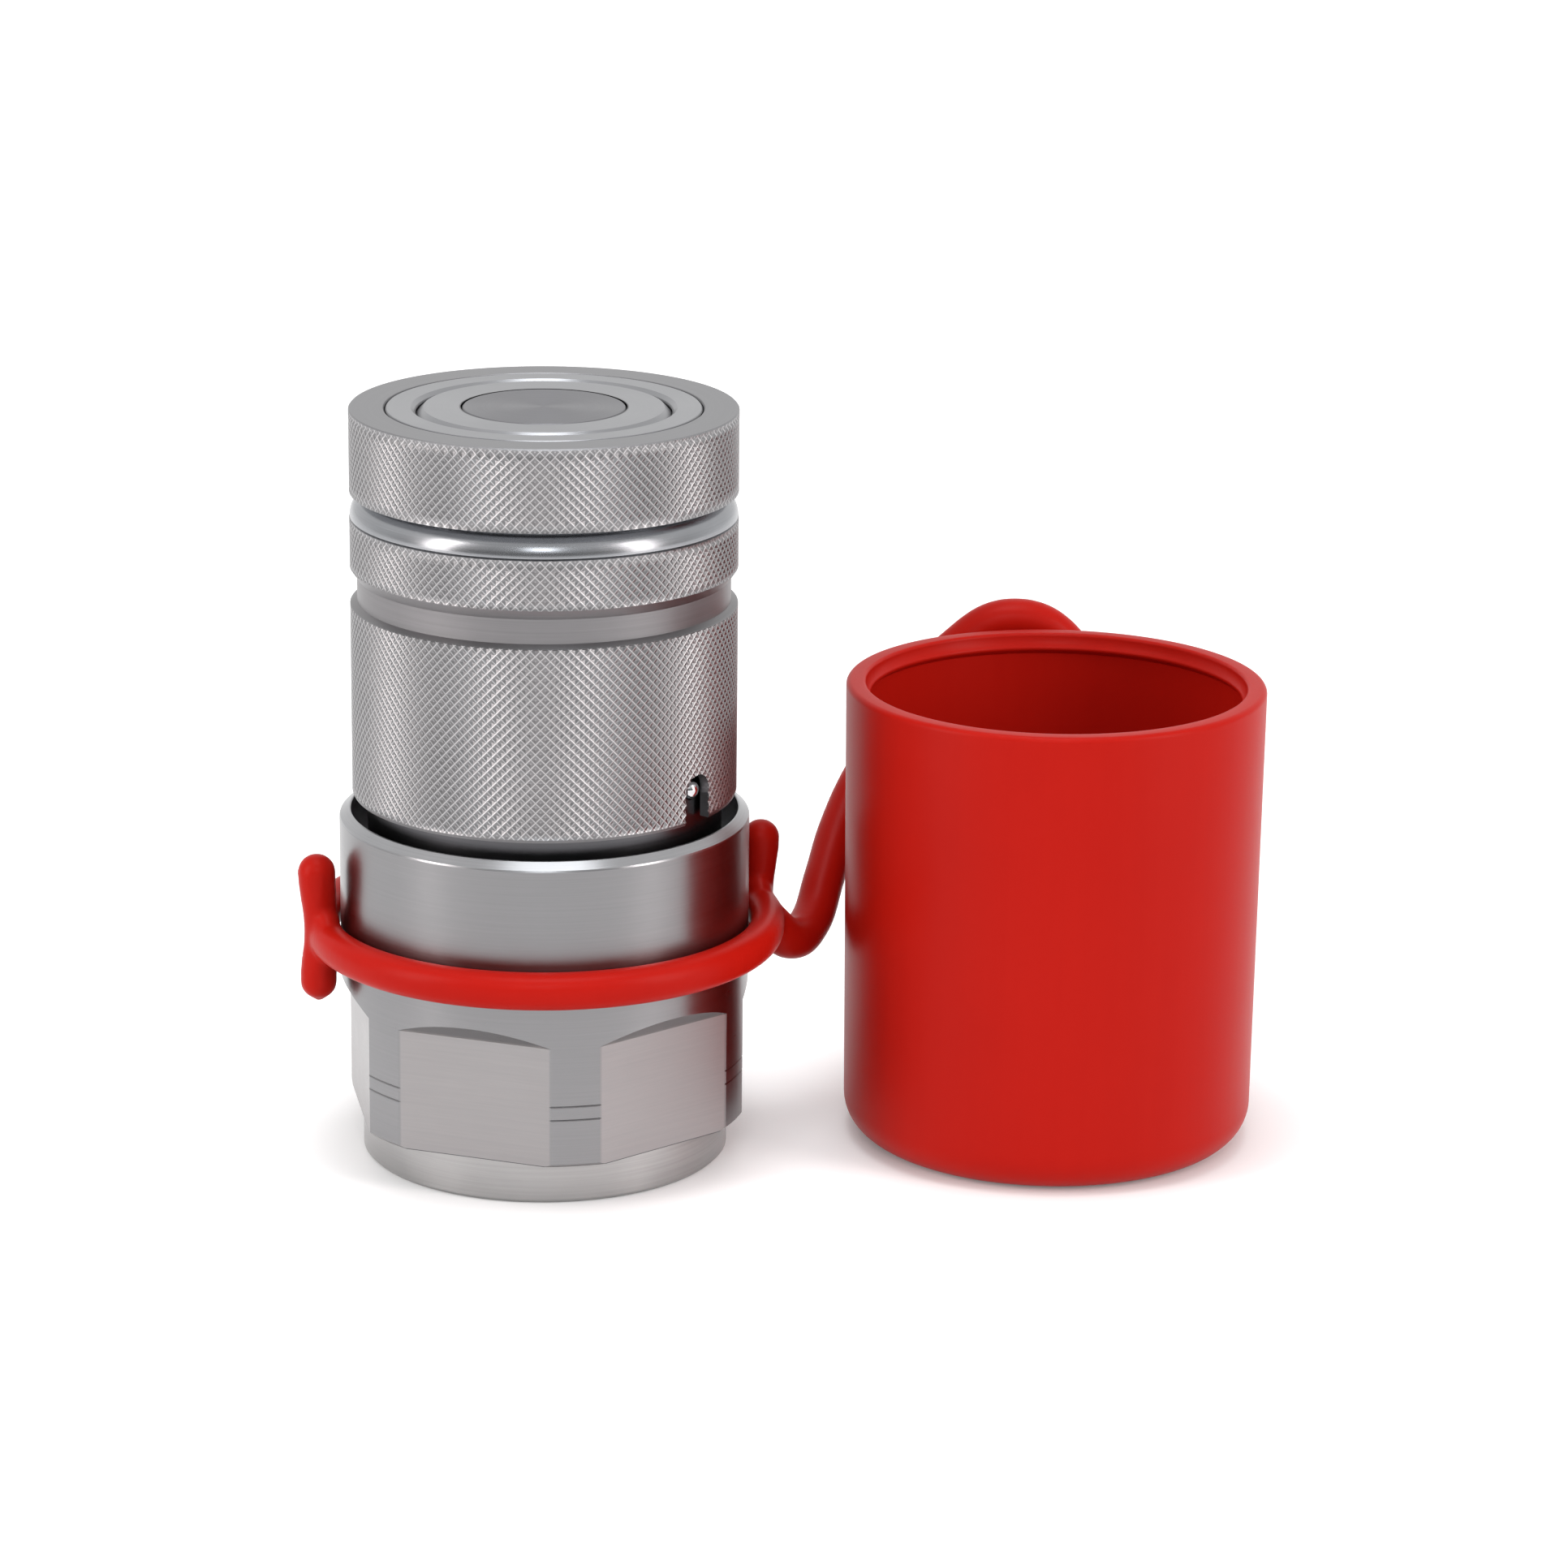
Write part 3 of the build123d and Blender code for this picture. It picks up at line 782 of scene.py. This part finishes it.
@dataclass
class Sleeve:
    """Knurled locking sleeve with its polished shoulder, plain groove and rear notch."""

    material: bpy.types.Material
    radius: float = 27.5 * MM
    top: float = 109.4 * MM
    rear: float = 53.5 * MM
    edge: float = 0.18 * MM
    knurl: Knurl = Knurl()
    groove_radius: float = 26.5 * MM
    groove_high: float = 85.3 * MM
    groove_low: float = 81.8 * MM
    neck_radius: float = 26.0 * MM
    neck_z: float = 96.9 * MM
    shoulder_low: float = 94.05 * MM
    shoulder_turn: float = 62.0
    notch_angle: float = -35.7
    notch_width: float = 5.4 * MM
    notch_height: float = 6.9 * MM
    inside: tuple[Point, ...] = (
        (25.9, 53.5), (25.9, 82.5), (22.45, 82.5), (22.45, 84.5), (23.8, 84.5),
        (23.8, 93.06), (22.45, 93.06), (22.45, 94.96), (24.77, 101.66), (24.77, 105.4),
        (22.45, 105.4), (22.45, 109.15), (22.7, 109.4),
    )

    def outline(self) -> list[Point]:
        """Closed outline of the sleeve, down the outside and up the inside.

        Returns:
            Corners as (radius, height).
        """
        front, middle, skirt = (
            [(self.radius, height) for height in self.knurl.rows(*band)]
            for band in self.knurl.bands)
        drop = self.neck_z - self.shoulder_low
        bend = drop / math.sin(math.radians(self.shoulder_turn))
        crown = self.radius - 0.06 * MM
        shoulder = arc((crown - bend, self.shoulder_low), bend, self.shoulder_turn, 0, 14)
        outside = [(self.radius - self.edge, self.top), *front,
                   (self.neck_radius + 0.1 * MM, self.neck_z + 0.1 * MM), *shoulder]
        outside += [(self.radius - 0.3 * MM, 93.9 * MM), *middle,
                    (self.groove_radius, self.groove_high), (self.groove_radius, self.groove_low),
                    *skirt, (self.radius - self.edge, self.rear)]
        return outside + [(r * MM, z * MM) for r, z in self.inside]

    def cut_knurl(self, obj: bpy.types.Object) -> None:
        """Sink every second lattice point of the bands, which leaves thin crossing ridges.

        Args:
            obj: The turned sleeve.
        """
        pick(obj)
        bpy.ops.object.mode_set(mode="EDIT")
        select_where(obj, lambda place: abs(math.hypot(place.x, place.y) - self.radius) < 2 * TOUCH
                     and self.knurl.is_pit(place), "VERT")
        share = (self.radius - self.knurl.depth) / self.radius
        bpy.ops.transform.resize(value=(share, share, 1.0), center_override=(0, 0, 0))
        inner = self.radius - self.knurl.depth - 0.02 * MM
        select_where(obj, lambda place: math.hypot(place.x, place.y) > inner
                     and any(low < place.z < high for high, low in self.knurl.bands), "FACE")
        bpy.ops.mesh.quads_convert_to_tris(quad_method="LONGEST_DIAGONAL")
        bpy.ops.object.mode_set(mode="OBJECT")

    def notch_tools(self) -> list[bpy.types.Object]:
        """Cutters of the release notch: a round top and a straight slot below it.

        Returns:
            The two cutters.
        """
        half = self.notch_width / 2
        angle = math.radians(self.notch_angle)
        reach = (self.radius + self.groove_radius) / 2
        top = self.rear + self.notch_height - half
        spot = (reach * math.cos(angle), reach * math.sin(angle))
        deselect_all()
        bpy.ops.mesh.primitive_cylinder_add(
            vertices=40, radius=half, depth=4 * MM, location=(*spot, top),
            rotation=(math.radians(90), 0, angle + math.radians(90)))
        round_top = name_new("notch_round_tool")
        deselect_all()
        bpy.ops.mesh.primitive_cube_add(size=1, location=(*spot, top - 4 * MM),
                                        rotation=(0, 0, angle))
        bpy.context.object.scale = (4 * MM, self.notch_width, 8 * MM)
        return [round_top, name_new("notch_slot_tool")]

    def build(self) -> None:
        """Model and dress the sleeve."""
        obj = turn("knurled_sleeve", self.outline(), 2 * self.knurl.columns)
        self.cut_knurl(obj)
        cut(obj, self.notch_tools())
        smooth(obj, 32.0)
        dress(obj, Body.SLEEVE, self.material, ["locking_sleeve"])


@dataclass
class Adapter:
    """Rear body with its spigot, spanner flats, collar and threaded port."""

    material: bpy.types.Material
    flats: int = 6
    flat_radius: float = 27.0 * MM
    flat_top: float = 24.0 * MM
    flat_angle: float = -109.0
    collar: float = 29.4 * MM
    steps: int = 288
    thread_turns: int = 8
    thread_pitch: float = 2.2 * MM
    thread_depth: float = 1.1 * MM
    thread_start: float = 1.6 * MM
    thread_share: float = 0.46
    port_radius: float = 15.2 * MM
    corners: tuple[Point, ...] = (
        (17.0, 0.0), (25.9, 0.0), (26.4, 0.5), (26.4, 6.4), (28.95, 6.4), (29.4, 6.85),
        (29.4, 13.25), (29.25, 13.4), (29.4, 13.55), (29.4, 15.25), (29.25, 15.4),
        (29.4, 15.55), (29.4, 49.85), (29.3, 50.1), (28.05, 51.04), (27.85, 51.1),
        (27.75, 51.0), (27.7, 50.8), (27.7, 44.5), (23.05, 44.5), (23.05, 26.0),
        (14.5, 26.0), (14.5, 20.7), (15.2, 20.0), (15.2, 1.8),
    )

    def flat_tool(self, angle: float) -> bpy.types.Object:
        """Cutter of one flat: a block whose top face slopes up and outwards.

        Args:
            angle: Where the flat faces, in degrees.

        Returns:
            The cutter.
        """
        reach = 4 * MM
        deselect_all()
        bpy.ops.mesh.primitive_cube_add(
            size=1, location=(self.flat_radius + reach / 2, 0, self.flat_top / 2))
        bpy.context.object.scale = (reach, 2 * self.collar, self.flat_top)
        obj = name_new("flat_tool")
        bpy.ops.object.mode_set(mode="EDIT")
        select_where(obj, lambda p: p.x > self.flat_radius + reach / 2 and p.z > self.flat_top / 2,
                     "VERT")
        bpy.ops.transform.translate(value=(0, 0, reach))
        bpy.ops.object.mode_set(mode="OBJECT")
        obj.rotation_euler.z = math.radians(angle)
        bpy.ops.object.transform_apply(rotation=True)
        return obj

    def build_body(self) -> None:
        """Model and dress the body with its flats."""
        outline = [(r * MM, z * MM) for r, z in self.corners]
        obj = turn("adapter_body", outline, self.steps)
        cut(obj, [self.flat_tool(self.flat_angle + 360 / self.flats * i)
                  for i in range(self.flats)])
        smooth(obj, 12.0)
        dress(obj, Body.COUPLER, self.material, ["adapter"])

    def build_thread(self) -> None:
        """Wind the port's thread: a small triangle is turned and raised round the axis."""
        deselect_all()
        wall = self.port_radius + 0.05 * MM
        middle = self.thread_start + self.thread_pitch / 2
        bpy.ops.mesh.primitive_circle_add(
            vertices=3, radius=self.thread_depth, fill_type="NOTHING",
            location=(wall - self.thread_depth / 2, 0, middle),
            rotation=(math.radians(90), 0, 0))
        obj = name_new("port_thread")
        half = self.thread_pitch * self.thread_share
        corners = ((wall, -half), (wall, half), (wall - self.thread_depth, 0.0))
        for vertex, (radius, rise) in zip(obj.data.vertices, corners):
            vertex.co = (radius, 0, middle + rise)
        wind(obj, self.thread_pitch, self.thread_turns, 96)
        smooth(obj, 40.0)
        dress(obj, Body.COUPLER, self.material)

    def build(self) -> None:
        """Model and dress the whole adapter."""
        self.build_body()
        self.build_thread()


@dataclass
class DustCap:
    """Soft dust cap: the cup, and the strap with its ring and pull ears."""

    material: bpy.types.Material
    x: float = 73.4 * MM
    y: float = 8.0 * MM
    height: float = 68.0 * MM
    base_radius: float = 29.8 * MM
    rim_radius: float = 30.3 * MM
    bore_radius: float = 27.6 * MM
    lip_radius: float = 26.8 * MM
    corner: float = 5.5 * MM
    floor: float = 4.0 * MM
    steps: int = 160
    ring_inner: float = 29.7 * MM
    ring_width: float = 4.9 * MM
    ring_height: float = 5.3 * MM
    ring_z: float = 33.5 * MM
    ear_lobes: tuple[Point, ...] = (
        (33.15, 2.75), (33.12, 2.72), (33.02, 2.66), (32.92, 2.58), (32.82, 2.50),
        (32.72, 2.46), (32.66, 2.44), (32.66, 2.44), (32.72, 2.48), (32.84, 2.54),
        (32.96, 2.60), (33.04, 2.66), (33.06, 2.66),
    )
    ear_height: float = 21.6 * MM
    ear_z: float = 34.9 * MM
    ear_angles: tuple[float, ...] = (-166.0, 20.7)
    strap_radius: float = 3.1 * MM
    voxel: float = 0.42 * MM
    strap_points: tuple[Place, ...] = (
        (32.0, 4.2, 32.6), (35.4, 7.2, 29.0), (38.2, 13.0, 29.4), (40.4, 20.0, 34.3),
        (42.6, 27.0, 39.9), (46.4, 34.0, 46.5), (52.6, 40.4, 54.4), (59.6, 44.0, 63.0),
        (68.6, 44.8, 67.8), (76.9, 44.8, 63.6), (79.4, 44.6, 54.5), (79.4, 44.0, 40.0),
        (78.2, 43.2, 22.0), (74.9, 36.7, 9.0),
    )
    strap_pad: tuple[Place, Place] = (
        (75.3 * MM, 38.0 * MM, 12.5 * MM), (5.4 * MM, 2.9 * MM, 8.0 * MM))

    def cup_outline(self) -> list[Point]:
        """Closed outline of the cup's wall about its own axis.

        Returns:
            Corners as (radius, height).
        """
        rim, edge, lip, inner = 0.8 * MM, 0.5 * MM, 0.45 * MM, 2.5 * MM
        lip_z = self.height - 2.2 * MM
        wall = arc((self.base_radius - self.corner, self.corner), self.corner, -90, 0, 12)
        wall += arc((self.rim_radius - rim, self.height - rim), rim, 0, 90, 6)
        wall += arc((self.bore_radius + 0.35 * MM, self.height - edge), edge, 90, 180, 5)
        wall += [(self.bore_radius - 0.2 * MM, self.height - 1.1 * MM)]
        wall += arc((self.lip_radius + lip, lip_z), lip, 130, 230, 6)
        wall += [(self.bore_radius, lip_z - 2 * lip)]
        wall += arc((self.bore_radius - inner, self.floor + inner), inner, 0, -90, 8)
        return [(0.0, 0.0)] + wall + [(0.0, self.floor)]

    def build_cup(self) -> None:
        """Model and dress the cup."""
        obj = turn("dust_cap_cup", self.cup_outline(), self.steps)
        pick(obj)
        obj.location = (self.x, self.y, 0)
        bpy.ops.object.transform_apply(location=True)
        smooth(obj, 40.0)
        dress(obj, Body.CAP, self.material, ["dust_cap"])

    def ring(self) -> bpy.types.Object:
        """Tether ring as a turned rounded bar.

        Returns:
            The ring.
        """
        round_off = 2.2 * MM
        outer = self.ring_inner + self.ring_width
        low, high = self.ring_z - self.ring_height / 2, self.ring_z + self.ring_height / 2
        left, right = self.ring_inner + round_off, outer - round_off
        down, up = low + round_off, high - round_off
        outline = []
        for side, corner in enumerate(((right, down), (right, up), (left, up), (left, down))):
            outline += arc(corner, round_off, 90 * side - 90, 90 * side, 6)
        return turn("tether_ring", outline, 200)

    def ball(self, name: str, place: Place, size: Place) -> bpy.types.Object:
        """Ball drawn out to three half sizes, as a lobe that is merged into the tether.

        Args:
            name: Name of the ball.
            place: Its centre.
            size: Its half sizes.

        Returns:
            The ball.
        """
        deselect_all()
        bpy.ops.mesh.primitive_uv_sphere_add(segments=32, ring_count=16, radius=1.0,
                                             location=place)
        bpy.context.object.scale = size
        return name_new(name)

    def ear(self, angle: float) -> bpy.types.Object:
        """Upright pull ear: thick lobes above and below the ring, with fillets at its root.

        Args:
            angle: Where the ear stands round the ring, in degrees.

        Returns:
            The joined ear.
        """
        top, low = self.ear_z + self.ear_height / 2, self.ear_z - self.ear_height / 2
        lobes = [(centre * MM, half * MM) for centre, half in self.ear_lobes]
        made = []
        for index, (centre, half) in enumerate(lobes):
            share = index / (len(lobes) - 1)
            height = top - half + share * (low - top + half + lobes[-1][1])
            made.append(self.ball(f"ear_{index}", (centre, 0, height), (half, half, half)))
        for lift, width in ((2.2 * MM, 4.4 * MM), (-1.8 * MM, 3.8 * MM)):
            made.append(self.ball("ear_root", (self.ring_inner + 2.5 * MM, 0, self.ring_z + lift),
                                  (2.2 * MM, width, 2.4 * MM)))
        made.append(self.ball("ear_nub", (lobes[-1][0], 0, low + 0.1 * MM),
                              (0.8 * MM, 0.8 * MM, 0.5 * MM)))
        obj = join(made)
        obj.rotation_euler.z = math.radians(angle)
        return name_new("pull_ear")

    def strap(self) -> bpy.types.Object:
        """Strap as a round bar along a smooth curve through its points.

        Returns:
            The strap.
        """
        deselect_all()
        bpy.ops.curve.primitive_bezier_curve_add()
        obj = bpy.context.object
        spline = obj.data.splines[0]
        spline.bezier_points.add(len(self.strap_points) - 2)
        for point, place in zip(spline.bezier_points, self.strap_points):
            point.co = Vector(place) * MM
            point.handle_left_type = point.handle_right_type = "AUTO"
        obj.data.dimensions = "3D"
        obj.data.bevel_depth = self.strap_radius
        obj.data.bevel_resolution = 6
        obj.data.resolution_u = 16
        obj.data.use_fill_caps = True
        bpy.ops.object.convert(target="MESH")
        return name_new("strap_bar")

    def core(self) -> bpy.types.Object:
        """Cutter as wide as the middle of the cup's wall, for what reaches into the cup.

        Returns:
            The cutter.
        """
        deselect_all()
        bpy.ops.mesh.primitive_cylinder_add(
            vertices=self.steps, radius=(self.bore_radius + self.base_radius) / 2,
            depth=self.height, location=(self.x, self.y, self.floor / 2 + self.height / 2))
        return name_new("cup_core_tool")

    def build_tether(self) -> None:
        """Model and dress the ring, ears and strap as one moulding."""
        join([self.ring(), self.strap(), self.ball("strap_pad", *self.strap_pad),
              *(self.ear(angle) for angle in self.ear_angles)])
        obj = name_new("tether_strap")
        apply_modifier(obj, "REMESH", mode="VOXEL", voxel_size=self.voxel)
        apply_modifier(obj, "SMOOTH", factor=0.5, iterations=9)
        cut(obj, [self.core()])
        smooth(obj, 60.0)
        dress(obj, Body.CAP, self.material)

    def build(self) -> None:
        """Model and dress the whole dust cap."""
        self.build_cup()
        self.build_tether()


@dataclass
class Spring:
    """Round wire compression spring that stands for one node of the frame."""

    name: str
    node: str
    material: bpy.types.Material
    turns: int
    wire: float
    mean_radius: float
    low: float
    high: float
    squash_joint: Optional[str] = None
    squash_share: float = 0.5
    stretch_body: Optional[Body] = None

    def build(self) -> None:
        """Wind the spring: a ring of wire section is turned and raised round the axis."""
        deselect_all()
        rise = self.high - self.low - self.wire
        bpy.ops.mesh.primitive_circle_add(
            vertices=14, radius=self.wire / 2, fill_type="NOTHING",
            location=(self.mean_radius, 0, self.low + self.wire / 2),
            rotation=(math.radians(90), 0, 0))
        obj = name_new(self.name)
        wind(obj, rise / self.turns, self.turns, 48)
        smooth(obj, 50.0)
        bend = None
        if self.stretch_body:
            bend = Bend(self.stretch_body, (0.0, 0.0, self.low + self.wire),
                        (0.0, 0.0, self.high - self.wire))
        dress(obj, Body.COUPLER, self.material, [self.node], bend)
        if self.squash_joint:
            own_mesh(obj)


@dataclass
class LockBall:
    """Small ball in the flange that the release notch passes over."""

    material: bpy.types.Material
    node: str = "lock_ball"

    def build(self) -> None:
        """Model and dress the ball where the frame has it."""
        low, high = (Vector(corner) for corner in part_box(self.node))
        deselect_all()
        bpy.ops.mesh.primitive_uv_sphere_add(segments=48, ring_count=24,
                                             radius=(high.z - low.z) / 2,
                                             location=(low + high) / 2)
        obj = name_new("lock_ball_polished")
        smooth(obj, 60.0)
        dress(obj, Body.COUPLER, self.material, [self.node])


@dataclass
class FrameNodes:
    """Nodes of the frame that are shown as they are, with a finish of their own."""

    materials: dict[Slot, bpy.types.Material]

    def dress(self) -> None:
        """Give each node the finish of its slot."""
        slots = {row["node"]: row["material_slot"] for row in frame["record"]["subparts"]}
        for name, obj in frame["nodes"].items():
            material = self.materials[Slot(slots[name])]
            for place in obj.material_slots:
                place.material = material
            log.info("%s keeps its solid", name)


@dataclass(frozen=True)
class PhotoCamera:
    """Camera that stands where the photograph was taken from."""

    position: Place = (34.30 * MM, -745.26 * MM, 272.15 * MM)
    pitch: float = 16.28
    roll: float = 0.64
    focal_pixels: float = 6673.2
    image_pixels: float = 1932.0
    sensor: float = 36.0

    def build(self) -> None:
        """Add the camera and make it the scene's own."""
        data = bpy.data.cameras.new("photo_camera")
        data.sensor_width = self.sensor
        data.lens = self.focal_pixels / self.image_pixels * self.sensor
        data.clip_start = 0.01
        data.clip_end = 20.0
        obj = bpy.data.objects.new("photo_camera", data)
        bpy.context.scene.collection.objects.link(obj)
        pitch, roll = math.radians(self.pitch), math.radians(self.roll)
        look = Vector((0, math.cos(pitch), -math.sin(pitch)))
        flat_right = Vector((1, 0, 0))
        flat_up = flat_right.cross(look)
        right = flat_right * math.cos(roll) + flat_up * math.sin(roll)
        up = flat_up * math.cos(roll) - flat_right * math.sin(roll)
        obj.matrix_world = Matrix.Translation(self.position) @ Matrix(
            (right, up, -look)).transposed().to_4x4()
        bpy.context.scene.camera = obj


@dataclass(frozen=True)
class Lamp:
    """One soft area lamp that faces the object."""

    name: str
    position: Place
    size: Pair
    radiance: float
    color: Tone
    target: Place = (0.035, 0.0, 0.05)

    def build(self) -> None:
        """Add the lamp with the power that gives its face the wanted radiance."""
        data = bpy.data.lights.new(self.name, "AREA")
        data.shape = "RECTANGLE"
        data.size, data.size_y = self.size
        data.energy = self.radiance * math.pi * self.size[0] * self.size[1]
        data.color = self.color
        obj = bpy.data.objects.new(self.name, data)
        bpy.context.scene.collection.objects.link(obj)
        obj.location = self.position
        aim = Vector(self.target) - Vector(self.position)
        obj.rotation_euler = aim.to_track_quat("-Z", "Y").to_euler()


@dataclass(frozen=True)
class Studio:
    """White table, pale surroundings and soft lamps."""

    floor_size: float = 8.0
    floor_color: float = 0.80
    floor_drop: float = 0.1 * MM
    # Glow inside the painted contact shadow, which ambient occlusion lays round whatever touches
    # the table.
    contact_shadow_glow: float = 0.12
    # Painted light: a lighter halo of glow round the coupler, set against its own shadow.
    halo_light_glow: float = 0.66
    near_glow: float = 0.50
    far_glow: float = 0.70
    # Reach, samples and step of that painted contact shadow.
    contact_reach: float = 22.0 * MM
    contact_samples: int = 2
    contact_step: Pair = (0.70, 0.60)
    # Where the painted halo gives way to the plainer glow.
    near_step: Pair = (96.4 * MM, 60 * MM)
    far_step: Pair = (0.45, 0.6)
    middle: float = 35 * MM
    fill: float = 0.55
    front_level: float = 0.10
    front_lift: float = 0.55
    front_step: Pair = (0.28, 0.36)
    back_level: float = 1.0
    back_rise: float = 0.6
    back_step: Pair = (0.0, 1.1)
    lamps: tuple[Lamp, ...] = (
        Lamp("left_lamp", (-0.80, -0.42, 0.42), (0.26, 0.80), 6.2, (1.0, 0.94, 0.92)),
        Lamp("right_lamp", (0.86, -0.46, 0.42), (0.26, 0.80), 6.2, (1.0, 0.94, 0.92)),
        Lamp("front_lamp", (0.02, -0.92, 0.66), (0.26, 0.30), 6.0, (0.93, 0.97, 1.0)),
        Lamp("top_lamp", (0.03, -0.10, 1.0), (0.42, 0.42), 4.6, (0.95, 0.98, 1.0)),
    )

    def floor(self) -> None:
        """Lay the table and give it a glow that only the camera and gloss see, with a painted
        contact shadow and a painted lighter halo round the coupler.
        """
        deselect_all()
        bpy.ops.mesh.primitive_plane_add(size=self.floor_size,
                                         location=(0.0, 0.0, -self.floor_drop))
        obj = name_new("studio_floor")
        shader = Shader("studio_floor")
        x, y, _ = shader.place()
        # Painted contact shadow: the glow drops where ambient occlusion finds pieces close by.
        nearby = shader.node("ShaderNodeAmbientOcclusion", {"samples": self.contact_samples},
                             {"Distance": self.contact_reach})
        clear = shader.step(Signal(shader, nearby.outputs["AO"]), *self.contact_step)
        near = shader.step(shader.distance(x, y), *self.near_step)
        far = shader.step(shader.distance(x - self.middle, y), *self.far_step)
        # Painted lighter halo round the coupler, dimmer glow further out, brightest far away.
        wide = (self.halo_light_glow + near * (self.near_glow - self.halo_light_glow)
                + far * (self.far_glow - self.near_glow))
        # The painted contact shadow replaces the wider glow near the pieces.
        glow = clear * wide + (1.0 - clear) * self.contact_shadow_glow
        shader.surface(Base_Color=(self.floor_color,) * 3 + (1.0,), Roughness=0.9,
                       Specular_IOR_Level=0.0, Emission_Strength=1.0,
                       Emission_Color=shader.mix(shader.seen() * glow, (0,) * 3, (1,) * 3))
        obj.data.materials.append(shader.material)

    def world(self) -> None:
        """White surroundings that darken to the front; plain surfaces get a dimmer fill."""
        world = bpy.data.worlds.new("studio_world")
        bpy.context.scene.world = world
        world.use_nodes = True
        shader = Shader.on_tree(world.node_tree)
        _, ahead, up = shader.place("Generated")
        back = shader.step(ahead + up * self.back_rise, *self.back_step)
        front = self.front_level + shader.step(up, *self.front_step) * self.front_lift
        level = back * self.back_level + (1.0 - back) * front
        seen = shader.seen()
        strength = seen * level + (1.0 - seen) * self.fill
        ground = world.node_tree.nodes["Background"]
        shader.feed(ground.inputs["Color"], (1.0,) * 4)
        shader.feed(ground.inputs["Strength"], strength)

    def build(self) -> None:
        """Set up the table, the surroundings and the lamps."""
        self.floor()
        self.world()
        for lamp in self.lamps:
            lamp.build()
        bpy.context.scene.view_settings.view_transform = "Standard"


def main() -> None:
    """Build the camera, the finishes, every piece and the studio, in that order."""
    logging.basicConfig(level=logging.INFO, format="%(message)s")
    PhotoCamera().build()
    finishes = Finishes().by_slot()
    FrameNodes(finishes).dress()
    Adapter(finishes[Slot.PLATED]).build()
    Sleeve(finishes[Slot.KNURLED]).build()
    LockBall(finishes[Slot.BALL]).build()
    Spring("valve_spring_wire", "valve_spring", finishes[Slot.SPRING], 7, 2.2 * MM,
           16.28 * MM, 44.0 * MM, 88.0 * MM, "valve_sleeve_slide").build()
    Spring("sleeve_spring_wire", "sleeve_spring", finishes[Slot.SPRING], 4, 2.4 * MM,
           24.12 * MM, 61.0 * MM, 81.0 * MM, stretch_body=Body.SLEEVE).build()
    DustCap(finishes[Slot.CAP]).build()
    Studio().build()


if __name__ == "__main__":
    main()
